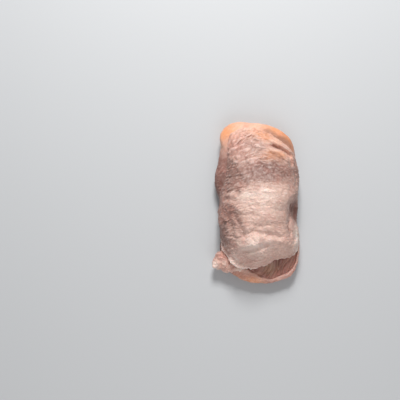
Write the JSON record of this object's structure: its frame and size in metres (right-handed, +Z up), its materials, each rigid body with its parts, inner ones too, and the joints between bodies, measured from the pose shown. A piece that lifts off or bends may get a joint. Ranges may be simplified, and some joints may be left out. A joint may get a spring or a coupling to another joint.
{
  "type": "raw boneless chicken leg quarter",
  "caption": "Raw boned chicken leg piece folded in two with its skin outside, resting flat, with red meat showing at the cut end.",
  "frame": {"origin": "under the middle of the piece, on the surface that it rests on", "axes": "+Y along the length, from the cut end to the fold; +Z up; +X to the right when seen from above with the fold at the top"},
  "size_m": [0.0666, 0.1228, 0.0388],
  "materials": {
    "skin": "moist satin, pale pink with mauve and orange areas",
    "meat": "moist satin, dark red-brown"
  },
  "bodies": {
    "root": {"skin": "skin", "meat": "meat"}
  },
  "joints": []
}
